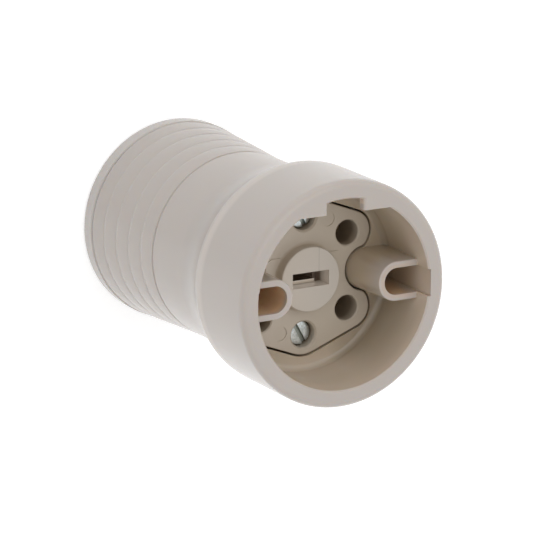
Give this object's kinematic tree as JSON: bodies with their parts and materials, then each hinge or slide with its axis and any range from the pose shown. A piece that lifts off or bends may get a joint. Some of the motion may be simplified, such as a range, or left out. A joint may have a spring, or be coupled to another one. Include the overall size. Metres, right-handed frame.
{
  "type": "inline socket connector",
  "caption": "Round inline socket connector for a five-pole coupling, with a keyed mouth, hollow guide ribs, a contact plate with an earth slot, and a ridged grip with a rear cable entry.",
  "frame": {"origin": "middle of the flat back end, on which the connector stands", "axes": "+Z along the connector's axis, out of the mouth; +Y towards the key notch; +X towards a guide rib"},
  "size_m": [0.0564, 0.0564, 0.087],
  "materials": {
    "shell_plastic": "beige-grey moulded plastic, half gloss",
    "insert_plastic": "beige moulded plastic, satin",
    "contact_brass": "stamped and turned",
    "earth_plating": "bright nickel on brass",
    "screw_steel": "bright zinc",
    "grommet_rubber": "dark grey rubber"
  },
  "bodies": {
    "root": {"front_housing": "shell_plastic", "rear_grip": "shell_plastic", "end_cap": "shell_plastic", "contact_plate": "insert_plastic", "contact_carrier": "insert_plastic", "cord_clamp": "insert_plastic", "cable_grommet": "grommet_rubber", "earth_contact": "earth_plating", "contact_sleeve_1": "contact_brass", "contact_sleeve_2": "contact_brass", "contact_sleeve_3": "contact_brass", "contact_sleeve_4": "contact_brass", "terminal_screw_1": "screw_steel", "terminal_screw_2": "screw_steel", "terminal_screw_3": "screw_steel", "terminal_screw_4": "screw_steel", "earth_screw": "screw_steel", "plate_screw_upper": "screw_steel", "plate_screw_lower": "screw_steel", "clamp_screw_right": "screw_steel", "clamp_screw_left": "screw_steel"}
  },
  "joints": []
}
